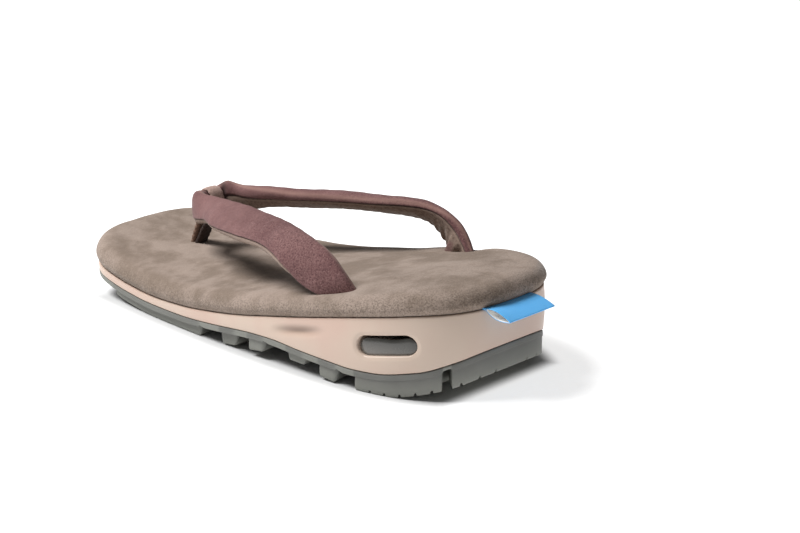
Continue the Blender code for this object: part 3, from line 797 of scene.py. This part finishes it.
def make_cell():
    """Rings round the slot's middle line: out from the line over the swollen end, along, and back in."""
    angle = np.linspace(0, 2 * math.pi, CELL_COLUMNS, endpoint=False)[None, :]
    far = SLOT_LENGTH
    lean = SLOT_Y + far * np.cos(angle - SLOT_TILT), SLOT_Z + far * np.sin(angle - SLOT_TILT)
    shrink = np.concatenate([np.linspace(1, 0.25, 8), [0.16, 0.09, 0.04, 0.01, 0]])[:, None]
    radius = SLOT_HEIGHT / 2
    inset = CELL_HEADROOM / 2 + shrink * (radius - CELL_HEADROOM / 2)
    y, z = slot_ring(lean[0], lean[1], -inset)
    z = z - CELL_HEADROOM / 2
    above = (z - SLOT_Z) / radius
    middle = np.exp(-((y - SLOT_Y + 0.003) / 0.006) ** 2)
    z = z - CELL_SAG * middle * np.clip(above, 0, 1)
    swell = CELL_SWELL * (1 - (1 - shrink) ** 2.5)
    x = plan(run_at(y), CELL_RECESS)[0] - CELL_SWELL + swell
    end = np.stack([x, y, z], -1)
    points = np.concatenate([end, end[::-1] * (-1, 1, 1)])
    # Painted shade: 0 low in the cell, 1 towards its top.
    height = np.clip((points[..., 2] - SLOT_Z) / SLOT_HEIGHT + 0.75, 0, 1)
    dress("smoky_cell", points, smoke, "air_cell", {"height": height})


make_cell()

# %% [markdown]
# ## The rubber outsole
# A trainer's outsole has a thin rim, and under it the parts that meet the ground: a heel block with a
# deep groove near its back, lugs under the arch and ball, and a long toe block. Across the sole they
# are straight, so the level of the tread is a function of the distance from the heel alone. It changes
# between the tread and the roof of the grooves with steep soft steps, and the columns of the grid crowd
# where the steps are. Small nicks are pressed into the heel's lower edge.

# %% Rubber finish
rubber = Finish("grey_rubber", Roughness=0.62)
dusty = rubber.noise(0.018, 3.0).between(0.35, 0.75)
fine = rubber.noise(0.0005, 2.0)
rubber_colour = rubber.mix(dusty, "62625e", "6b6b67")
rubber_colour = rubber.mix(rubber.mask("worn") * 0.7, rubber_colour, "8b8c84")
# Painted shade on the roofs and walls of the gaps between the blocks.
rubber_colour = rubber.mix(rubber.mask("deep") * 0.8, rubber_colour, "30302e")
rubber.finish(Base_Color=rubber_colour, Roughness=fine * 0.15 + 0.55, Normal=rubber.bump(fine, 0.00006))

# %% Outsole
RIM_STEP = 0.0003
LUG_SETBACK = 0.0013
TREAD_ROUND = 0.0010
LUG_PITCH = 0.0247
LUG_LENGTH = 0.0116
LUG_SHIFT = 0.0030
LUG_COUNT = 4
FIRST_LUG = 0.0655
TOE_LIP_LENGTH = 0.0340
GROOVE_ROOF = 0.0008
HEEL_BLOCK_LENGTH = 0.0545
HEEL_GROOVE_WIDTH = 0.0030
HEEL_GROOVE_FROM_BACK = 0.0092
HEEL_GROOVE_RISE = 0.0012
STEP_WIDTH = 0.0008
LUG_BACK_SLOPE = 0.0046
LUG_FRONT_SLOPE = 0.0018
NOTCH_HEIGHT = 0.0010
NOTCH_LENGTH = 0.0045
NICK_WIDTH = 0.0014
NICK_HEIGHT = 0.0017
NICK_LENGTH = 0.0060

# Blocks under the rim. Each row: start and end from the heel's back, softness of its back and of its
# front, and how far it is set back, as a share of the named setback
HEEL_BLOCK_START = HEEL_GROOVE_FROM_BACK + HEEL_GROOVE_WIDTH
BLOCKS = [(-0.1, HEEL_GROOVE_FROM_BACK, STEP_WIDTH, STEP_WIDTH, 0.0),
          (HEEL_BLOCK_START, HEEL_BLOCK_LENGTH, STEP_WIDTH, LUG_FRONT_SLOPE, 0.0)]
for number in range(LUG_COUNT):
    start = FIRST_LUG + LUG_PITCH * number - LUG_SHIFT * (number % 2)
    BLOCKS.append((start, start + LUG_LENGTH, LUG_BACK_SLOPE, LUG_FRONT_SLOPE, 0.3 + 1.1 * (number % 2)))
TOE_BLOCK_START = FIRST_LUG + LUG_PITCH * LUG_COUNT
BLOCKS.append((TOE_BLOCK_START, LENGTH - TOE_LIP_LENGTH, LUG_BACK_SLOPE, LUG_FRONT_SLOPE, 1.0))

# Small notches in the rim's lower edge, just behind every second lug and the toe block
NOTCHES = FIRST_LUG + LUG_PITCH * np.arange(0, LUG_COUNT + 1, 2)

# Distances round the outline from the heel's back, of the nicks behind and ahead of the heel's groove
NICKS = np.concatenate([0.0115 + 0.0097 * np.arange(3), 0.0452 + 0.0080 * np.arange(5)])


def tread_masks(y):
    """How much of a block there is at y, and how far it is set back."""
    place = y - HEEL_Y
    there = np.zeros(np.shape(y))
    setback = np.zeros(np.shape(y))
    for start, end, back_slope, front_slope, share in BLOCKS:
        block = step(place - start, back_slope) * step(end - place, front_slope)
        there = there + block
        setback = setback + block * share
    return there, RIM_STEP + LUG_SETBACK * (setback + 1.5 * (1 - there))


def outsole_runs():
    """Even distances round the outline, with more of them at every step and nick."""
    runs = [np.linspace(0, HALF_ROUND, 200)]
    for start, end, back_slope, front_slope, _ in BLOCKS:
        for place, width in ((start, back_slope), (end, front_slope)):
            if 0 < place < LENGTH:
                runs.append(run_at(HEEL_Y + place + width * np.linspace(-0.6, 0.6, 9)))
    for place in NOTCHES:
        runs.append(run_at(HEEL_Y + place - NOTCH_LENGTH * np.linspace(-0.1, 1, 9)))
    for nick in NICKS:
        runs.append(nick + NICK_WIDTH * np.linspace(-0.7, 0.7, 9))
    return both_sides(np.unique(np.concatenate(runs)))


def make_outsole():
    run = outsole_runs()[None, :]
    y = plan(run, 0.0)[1]
    there, setback = tread_masks(y)
    top = foam_bottom_z(y) - FIT
    groove = (1 - there) * step(HEEL_Y + HEEL_BLOCK_LENGTH / 2 - y, STEP_WIDTH)
    behind = NOTCHES - (y[..., None] - HEEL_Y)
    notch = step(behind, 0.0005) * np.clip(1 - behind / NOTCH_LENGTH, 0, 1)
    rim_low = rim_z(y) + HEEL_GROOVE_RISE * groove + NOTCH_HEIGHT * np.max(notch, -1)
    roof = rim_low - GROOVE_ROOF * (1 - groove)
    bottom = roof + (tread_z(y) - roof) * there
    right_run = np.minimum(run, 2 * HALF_ROUND - run)
    nick = np.max(step(NICK_WIDTH / 2 - np.abs(right_run[..., None] - NICKS), NICK_WIDTH / 4), -1)

    # Each row: inset, level above the tread's bottom or below the top, and draw to the middle
    rows = []
    for draw in (0, 0.5, 1):
        rows.append((PAD_ROUND + 0 * y, top, draw))
    rows.append((EDGE_ROUND / 2 + 0 * y, top, 1))
    for share in (0.3, 0.65, 1.0):
        quarter = EDGE_ROUND / 2 * (1 - np.sin(share * math.pi / 2))
        rows.append((quarter + 0 * y, top - EDGE_ROUND / 2 * (1 - np.cos(share * math.pi / 2)), 1))
    for share in (0.4, 0.8, 0.93):
        rows.append((0 * y, top - EDGE_ROUND / 2 + (rim_low - top + EDGE_ROUND / 2) * share, 1))
    rows.append((np.minimum(0.00012, setback) + 0 * y, rim_low, 1))
    rows.append((setback, rim_low - 0.0001, 1))
    wall_low = np.minimum(rim_low - 0.00015, bottom + TREAD_ROUND)
    nick_top = bottom + NICK_HEIGHT * nick
    for share in (0.15, 0.4, 0.7, 1.0):
        level = rim_low - 0.0001 + (wall_low - rim_low + 0.0001) * share
        rows.append((setback, np.maximum(level, nick_top), 1))
    for share in (0.35, 0.7, 1.0):
        curve = 1 - np.cos(share * math.pi / 2)
        level = wall_low + (bottom - wall_low) * np.sin(share * math.pi / 2)
        rows.append((setback + TREAD_ROUND * curve, np.maximum(level, nick_top), 1))
    rows.append((NICK_LENGTH + 0 * y, nick_top, 1))
    rows.append((NICK_LENGTH + 0.0004 + 0 * y, bottom, 1))
    for draw in (1, 0.66, 0.33, 0):
        rows.append((PAD_ROUND + 0 * y, bottom, draw))

    grid = []
    for inset, level, draw in rows:
        x, moved = plan(run, inset)
        grid.append(np.stack([x * draw, moved, level], -1)[0])
    points = np.stack(grid)
    worn = np.clip(1 - (points[..., 2] - bottom) / 0.0085, 0, 1)
    # Painted shade: the gaps between the blocks, below the rim.
    deep = step(1 - there - 0.5, 0.8) * (points[..., 2] < rim_low - 0.00005)
    dress("rubber_outsole", points, rubber, "outsole", {"worn": worn, "deep": deep})


make_outsole()

# %% [markdown]
# ## The straps
# A thong's upper is one padded band, sewn like a flattened sausage: dusty pink suede goes round the
# outside, over the top edge and down the inside, and a taupe lining closes it underneath. The band runs
# from one side of the footbed over the toe post to the other side. Its section is carried along a path,
# so its grid has rows along the band and columns round the section. The two seams are troughs along the
# band, the lining lies a little deeper, and near the ends it is gathered into small folds. A remesh for
# a cloth simulation would wipe out such narrow seams, so the folds are made by formula.

# %% Strap finishes
PINK_LIGHT = "7d5d5b"
PINK_MIDDLE = "6c4d4c"
PINK_DARK = "4b3335"
PINK_GLINT = "9a7874"
# Painted highlight along the band's top edge
PINK_RIDGE_HIGHLIGHT = "98786f"
# Painted highlight on the lining, beside both seams
LINING_HIGHLIGHT = "8c796e"

pink, pink_colour, pink_relief = suede("dusty_pink_suede", PINK_LIGHT, PINK_MIDDLE, PINK_DARK,
                                       PINK_GLINT, 0.12)
lining = pink.mask("lining")
painted_ridge_highlight = pink.mask("painted_ridge_highlight")
dark_seams_and_crease_shade = pink.mask("seam")
lining_colour = pink.mix(pink.noise(0.0012, 2.0).between(0.3, 0.6), "66554b", "7d6c61")
# Painted highlight: lighter strips of lining just below the outer seam and along the inner seam.
lining_colour = pink.mix(pink.mask("painted_hem_highlight"), lining_colour, LINING_HIGHLIGHT)
# Painted highlight along the band's top edge.
pink_colour = pink.mix(painted_ridge_highlight * 0.6, pink_colour, PINK_RIDGE_HIGHLIGHT)
strap_colour = pink.mix(lining, pink_colour, lining_colour)
# Dark seam lines, and painted shade in the crease beside the toe post.
strap_colour = pink.mix(dark_seams_and_crease_shade * 0.75, strap_colour, "4a3a38")
pink.finish(Base_Color=strap_colour, Normal=pink_relief)

# %% The band's path
BAND_SPREAD = 0.0510
BAND_REACH = 0.1490
BAND_ANCHOR_FROM_BACK = 0.0670
BAND_RISE = 0.0340
BAND_THICKNESS = 0.0088
BAND_SQUARENESS = 0.80

# One arm of the band, from the toe post back to the footbed. Each row: share along the arm, then the
# upper and the lower edge as x, y and height, shares of spread, reach and rise, and the thickness as a
# share of the named one. Heights are above the middle of the footbed
BAND = np.array([
    (0.00, 0.000, 1.000, 0.955, 0.000, 1.000, 0.50, 0.90),
    (0.05, 0.142, 1.004, 0.96, 0.148, 1.004, 0.50, 0.92),
    (0.10, 0.228, 0.968, 1.00, 0.275, 0.961, 0.57, 0.95),
    (0.17, 0.245, 0.868, 1.01, 0.420, 0.868, 0.65, 1.00),
    (0.26, 0.302, 0.750, 1.00, 0.610, 0.776, 0.69, 1.03),
    (0.40, 0.423, 0.566, 0.95, 0.815, 0.588, 0.70, 1.05),
    (0.55, 0.588, 0.380, 0.86, 0.960, 0.390, 0.60, 1.05),
    (0.71, 0.788, 0.180, 0.69, 1.085, 0.220, 0.32, 1.00),
    (0.80, 0.842, 0.095, 0.51, 1.032, 0.146, 0.04, 0.92),
    (0.90, 0.856, 0.031, 0.26, 0.945, 0.070, -0.15, 0.82),
    (1.00, 0.825, -0.019, -0.05, 0.850, 0.020, -0.28, 0.72),
])


def arm_frames(at):
    """Middle, half the width across, way out and half the thickness of the band at shares along its
    right arm, or along its left arm where they are negative. The table is mirrored at the toe post.
    """
    mirror = np.array([1, -1, 1, 1, -1, 1, 1, 1])
    flipped = BAND[:0:-1] * mirror
    flipped[:, 0] *= -1
    table = through(np.concatenate([flipped, BAND]), at)
    anchor = HEEL_Y + BAND_ANCHOR_FROM_BACK
    edges = []
    for first in (0, 3):
        x = table[:, first] * BAND_SPREAD
        y = anchor + table[:, first + 1] * BAND_REACH
        z = pad_top_z(y) + table[:, first + 2] * BAND_RISE
        edges.append(np.stack([x, y, z], -1))
    upper, lower = edges
    middle = (upper + lower) / 2
    way = np.cross(upper - lower, np.gradient(middle, at, axis=0))
    way /= np.linalg.norm(way, axis=1)[:, None]
    return middle, (upper - lower) / 2, way, table[:, 6] * BAND_THICKNESS / 2


front_middle, front_across, _, front_half = arm_frames(np.linspace(-0.01, 0.01, 3))
print("band over the post:", np.round(front_middle[1], 4))

# %% Straps
BAND_ROWS = 420
BAND_COLUMNS = 132
SEAM_DEPTH = 0.0008
SEAM_WIDTH = 0.009
LINING_DEPTH = 0.0004
PINCH = 0.0009
PINCH_SHARE = 0.030
SHOULDER = 0.0025
SHOULDER_SHARE = 0.075
SHOULDER_LENGTH = 0.028
LEFT_SHOULDER = 0.15
CREASE_SHARE = 0.060
CREASE_LENGTH = 0.014
CREASE_DEPTH = 0.0012
GATHER_PITCH = 0.0058
GATHER_PLACE = 0.66
GATHER_WIDTH = 0.11
GATHER_DEPTH = 0.0012
PLEAT_SHARE = 0.90
PLEAT_LENGTH = 0.045
PLEAT_PLACE = 0.70
PLEAT_WIDTH = 0.085
PLEAT_HEIGHT = 0.0058
SAG_SHARE = 0.10
SAG_LENGTH = 0.05
SAG_DEPTH = 0.0020
BAND_WAVES = np.array([
    (0.041, 35, 0.00014),
    (0.027, 112, 0.00012),
    (0.017, 71, 0.00009),
    (0.011, 20, 0.00007),
])

# Places of the two seams round the band's section, as shares from its upper edge. Each row: share
# along the arm, the seam on the outside and the seam on the inside
SEAMS = np.array([
    (0.00, 0.392, 0.765),
    (0.10, 0.400, 0.785),
    (0.20, 0.440, 0.820),
    (0.31, 0.458, 0.880),
    (0.43, 0.455, 0.910),
    (0.65, 0.422, 0.928),
    (0.76, 0.465, 0.930),
    (0.84, 0.470, 0.878),
    (1.00, 0.470, 0.845),
])


def make_straps():
    at = np.linspace(-1, 1, BAND_ROWS)
    middle, half_across, way, half = arm_frames(at)
    wide = np.linalg.norm(half_across, axis=1)
    up = half_across / wide[:, None]
    run = np.concatenate([[0], np.cumsum(np.linalg.norm(np.diff(middle, axis=0), axis=1))])

    # The toe post squeezes the band, which swells beside it, more on the right
    pinch = bell(at, PINCH_SHARE)
    swell = bell(at - SHOULDER_SHARE, SHOULDER_LENGTH)
    swell = swell + LEFT_SHOULDER * bell(at + SHOULDER_SHARE, SHOULDER_LENGTH)
    wide = wide - PINCH * pinch + SHOULDER * swell
    half = half - PINCH * 0.5 * pinch

    v = np.linspace(0, 1, BAND_COLUMNS, endpoint=False)[None, :]
    turn = 2 * math.pi * v
    flat = squared(np.cos(turn), BAND_SQUARENESS)
    high = squared(np.sin(turn), BAND_SQUARENESS)
    outer, inner = through(SEAMS, np.abs(at)).T[..., None]
    seam = bell(v - outer, SEAM_WIDTH) + bell(v - inner, SEAM_WIDTH)
    lined = step(v - outer, 0.008) * step(inner - v, 0.008)
    # Painted highlights on the lining, beside both seams.
    painted_hem_highlight = bell(v - outer - 0.040, 0.034) + 0.8 * bell(v - inner + 0.026, 0.012)
    away = np.abs(at[:, None])
    # A crease on the inside beside the toe post, darkened with painted shade through the seam mask.
    crease = bell(at[:, None] - CREASE_SHARE, CREASE_LENGTH) * step(np.abs(v - 0.25) - 0.22, 0.06)
    near_end = np.clip((away - 0.55) / 0.4, 0, 1)
    gather = np.sin(2 * math.pi * run[:, None] / GATHER_PITCH + 5 * v)
    gather = gather * bell(v - GATHER_PLACE, GATHER_WIDTH) * (0.04 + near_end ** 2) * GATHER_DEPTH
    pleat = bell(away - PLEAT_SHARE, PLEAT_LENGTH) * bell(v - PLEAT_PLACE, PLEAT_WIDTH)
    lined = lined * (1 - 0.65 * step(pleat - 0.45, 0.3))
    depth = SEAM_DEPTH * seam + LINING_DEPTH * lined - gather * (lined + 0.3)
    depth = depth - waves(run[:, None], v * 0.06, BAND_WAVES) + CREASE_DEPTH * crease
    depth = depth - PLEAT_HEIGHT * pleat
    depth = depth - SAG_DEPTH * bell(away - SAG_SHARE, SAG_LENGTH) * bell(v - 0.5, 0.1)
    a = (wide[:, None] - depth) * flat
    b = (half[:, None] - depth) * high
    points = middle[:, None] + a[..., None] * up[:, None] + b[..., None] * way[:, None]
    points = close_ends(points, middle)
    # Painted highlight along the top edge.
    painted_ridge_highlight = bell(np.minimum(v, 1 - v), 0.035)
    masks = {"lining": lined, "seam": seam + 1.2 * crease, "painted_ridge_highlight": painted_ridge_highlight, "painted_hem_highlight": painted_hem_highlight,
             "grainy": 0.25 + 0.75 * step(away - 0.45, 0.35)}
    for mask, values in masks.items():
        masks[mask] = np.pad(values + 0 * depth, ((1, 1), (0, 0)), "edge")
    piece = dress("strap_band", points, pink, "straps", masks)


make_straps()

# %% [markdown]
# ## The toe post
# A narrow loop of suede goes over the middle of the band, and its two strands run down together into
# the footbed. The loop's line lies in the sandal's middle plane: it leaves the footbed, meets the band
# where a line from the footbed just touches it, goes over the top, and comes down behind. The strands
# are pinched together under the band. A flat rounded section is carried along that line.

# %% Toe post
POST_WIDTH = 0.0090
POST_WALL = 0.0018
POST_SLACK = 0.0007
POST_FOOT_FORWARD = 0.0120
STRAND_GAP = 0.0033
STRAND_PINCH = 0.0018
POST_SINK = 0.0050
POST_COLUMNS = 28
POST_SIDES = 0.6
POST_FACES = 0.9

brown, brown_colour, brown_relief = suede("post_suede", "b79d94", "a3897f", "77625a", "c2aaa0", 0.1)
# The strands are darker brown, partly their own colour and partly painted shade under the band; the back
# strand is painted in deep shade.
strand_shade_colour = brown.mix(brown.mask("behind"), "775f52", "332723")
brown_colour = brown.mix(brown.mask("strand"), brown_colour, strand_shade_colour)
brown.finish(Base_Color=brown_colour, Normal=brown_relief)


def post_line():
    """Points of the loop's middle line as y and z, and how much of a strand each is."""
    _, y0, z0 = front_middle[1]
    deep = front_half[1] - PINCH * 0.5 + POST_SLACK + POST_WALL / 2
    tall = float(np.linalg.norm(front_across[1])) - PINCH + POST_SLACK + POST_WALL / 2
    turn = np.linspace(-math.pi / 2, 1.5 * math.pi, 241)
    oval_y = y0 + deep * squared(np.cos(turn), BAND_SQUARENESS)
    oval_z = z0 + tall * squared(np.sin(turn), BAND_SQUARENESS)
    foot_y = y0 + POST_FOOT_FORWARD
    foot_z = float(pad_top_z(foot_y)) - 0.0005
    angle = np.unwrap(np.arctan2(oval_z - foot_z, oval_y - foot_y))
    first, last = np.argmin(angle), np.argmax(angle)
    over_y, over_z = oval_y[first:last + 1], oval_z[first:last + 1]
    t = np.linspace(0, 1, 40)[:-1]
    pinch = STRAND_PINCH * np.sin(math.pi * t ** 1.6)
    front_y = foot_y + STRAND_GAP / 2 + (over_y[0] - foot_y - STRAND_GAP / 2) * t - pinch
    back_y = foot_y - STRAND_GAP / 2 + (over_y[-1] - foot_y + STRAND_GAP / 2) * t + pinch
    y = np.concatenate([front_y[:1], front_y, over_y, back_y[::-1], back_y[:1]])
    z = np.concatenate([[foot_z - POST_SINK], foot_z + (over_z[0] - foot_z) * t, over_z,
                        (foot_z + (over_z[-1] - foot_z) * t)[::-1], [foot_z - POST_SINK]])
    down = np.clip((z0 - tall * 0.55 - z) / 0.004, 0, 1)
    return y, z, down


def make_post():
    y, z, down = post_line()
    run = np.concatenate([[0], np.cumsum(np.hypot(np.diff(y), np.diff(z)))])
    even = np.linspace(0, run[-1], 200)
    y, z, down = (np.interp(even, run, values) for values in (y, z, down))
    soft = np.ones(9) / 9
    y[4:-4], z[4:-4] = np.convolve(y, soft, "valid"), np.convolve(z, soft, "valid")
    ahead = np.stack([np.gradient(y), np.gradient(z)])
    ahead /= np.hypot(*ahead)
    turn = np.linspace(0, 2 * math.pi, POST_COLUMNS, endpoint=False)[None, :]
    across = squared(np.cos(turn), POST_SIDES)
    thick = squared(np.sin(turn), POST_FACES)
    half_wide = (POST_WIDTH / 2 * (1 - 0.16 * down))[:, None]
    half_wall = (POST_WALL / 2 * (1 + 0.80 * down))[:, None]
    pucker = 0.00022 * np.sin(even * 2 * math.pi / 0.0031)[:, None] * np.abs(across)
    x = half_wide * across + pucker
    points = np.stack([x, y[:, None] + thick * half_wall * ahead[1][:, None],
                       z[:, None] - thick * half_wall * ahead[0][:, None]], -1)
    points = close_ends(points, np.stack([0 * y, y, z], -1))
    down = np.pad(down, 1, "edge")[:, None] + 0 * turn
    # The back strand gets the deeper painted shade.
    behind = (np.arange(len(down)) > len(down) / 2)[:, None] + 0 * down
    masks = {"strand": down, "behind": behind, "grainy": down * 0 + 0.5}
    dress("post_loop", points, brown, "toe_post", masks)


make_post()

# %% [markdown]
# ## The tag
# A bit of woven ribbon is folded in two and caught in the seam at the back of the heel, blue outside
# and white inside. It is a real sheet: a grid of two directions that goes out, turns round the fold and
# comes back underneath, with a thin wall from the Solidify modifier. The fold droops, it lies a little
# askew, and at the left end the two layers part. The tag is left bare.

# %% Tag
TAG_WIDTH = 0.0330
TAG_IN = 0.0040
TAG_DROOP = 0.0045
TAG_PART = 0.0040
TAG_WALL = 0.0003
TAG_SKEW = 0.0034

ribbon = Finish("blue_ribbon", Roughness=0.6, Sheen_Weight=0.2)
inside = Finish("white_ribbon", Roughness=0.7)
for cloth, warp_colour, weft_colour in ((ribbon, "4cb4ff", "66c4ff"), (inside, "f2f2ef", "ffffff")):
    weave = cloth.stripes("X", 900.0) * 0.5 + cloth.stripes("Y", 700.0) * 0.5
    cloth.finish(Base_Color=cloth.mix(weave, warp_colour, weft_colour),
                 Normal=cloth.bump(weave, 0.00008))


def make_tag():
    """Fold: out along the top layer, half a turn, and back along the lower one."""
    reach = TAG_IN + TAG_OUT
    u = np.concatenate([np.linspace(0, 0.96, 22), np.linspace(0.975, 1, 4)])
    x = np.linspace(TAG_WIDTH / 2, -TAG_WIDTH / 2, 45)[None, :]
    out = np.clip((u * reach - TAG_IN) / TAG_OUT, 0, 1)
    seam = float(seam_z(HEEL_Y + TAG_IN)) + 2 * FIT + TAG_WALL
    line_y = HEEL_Y + TAG_IN - u * reach
    line_z = seam - TAG_DROOP * out ** 1.6
    part = np.sin(math.pi * np.clip(out, 0, 1)) ** 0.7 * np.clip(1 - out, 0, 1) ** 0.25
    half_gap = TAG_WALL / 2 + 0.00005
    opening = TAG_PART * (0.12 + 0.88 * step(-x - TAG_WIDTH * 0.28, TAG_WIDTH * 0.45))
    top = line_z[:, None] + half_gap + part[:, None] * opening * 0.2
    low = line_z[:, None] - half_gap - part[:, None] * opening * 0.8
    y = np.concatenate([line_y, line_y[::-1]])[:, None] + 0 * x
    z = np.concatenate([top, low[::-1]])
    skew = TAG_SKEW * (1 - np.concatenate([out, out[::-1]]))[:, None]
    points = np.stack([x - skew + 0 * y, y, z], -1)
    mesh = make_mesh("heel_ribbon", points, quads(*points.shape[:2]), {})
    mesh.shade_smooth()
    piece = show(mesh, ribbon, inside)
    wall_step = piece.modifiers.new("wall", "SOLIDIFY")
    wall_step.thickness = TAG_WALL
    wall_step.offset = 0
    wall_step.material_offset = 1
    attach(piece, "root")
    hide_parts("heel_tag")
    print("heel_ribbon", len(mesh.polygons), "faces")


make_tag()
